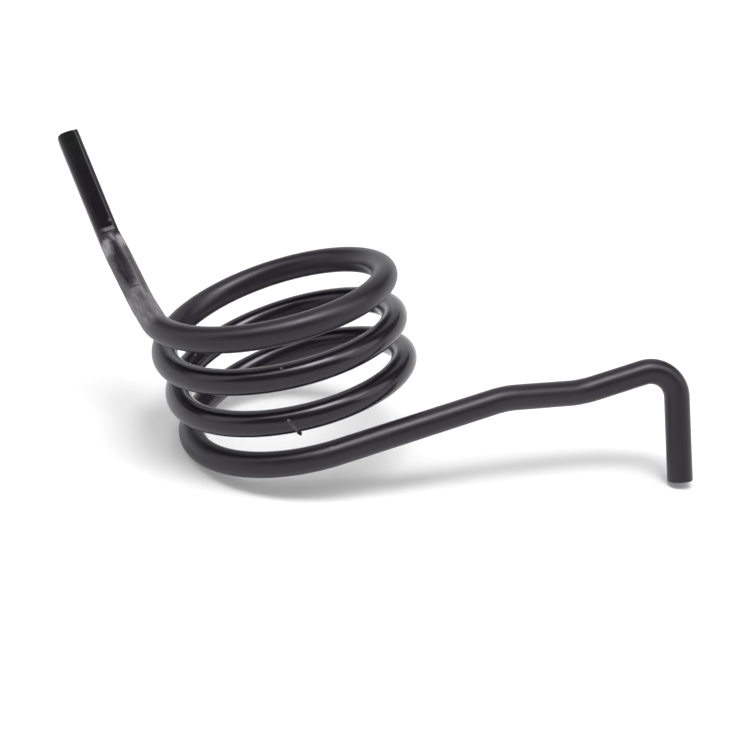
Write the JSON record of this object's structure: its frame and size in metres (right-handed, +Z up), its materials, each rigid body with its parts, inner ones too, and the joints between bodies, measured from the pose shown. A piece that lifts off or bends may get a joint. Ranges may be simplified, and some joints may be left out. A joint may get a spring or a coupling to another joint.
{
  "type": "torsion spring",
  "caption": "Open-wound torsion spring of round black wire: a coil that fits over a pivot, a cranked lower leg ending in a hook, and a standing upper leg with a flattened tang.",
  "frame": {"origin": "centre of the bounding box, on the floor that the spring rests on", "axes": "+Z up from the floor with the spring lying as it comes to rest; +X along the lower leg, from the coil towards the hook"},
  "size_m": [0.1108, 0.0806, 0.0537],
  "materials": {
    "black_wire": "satin black coat over drawn spring steel wire"
  },
  "bodies": {
    "root": {"torsion_spring": "black_wire"}
  },
  "joints": []
}
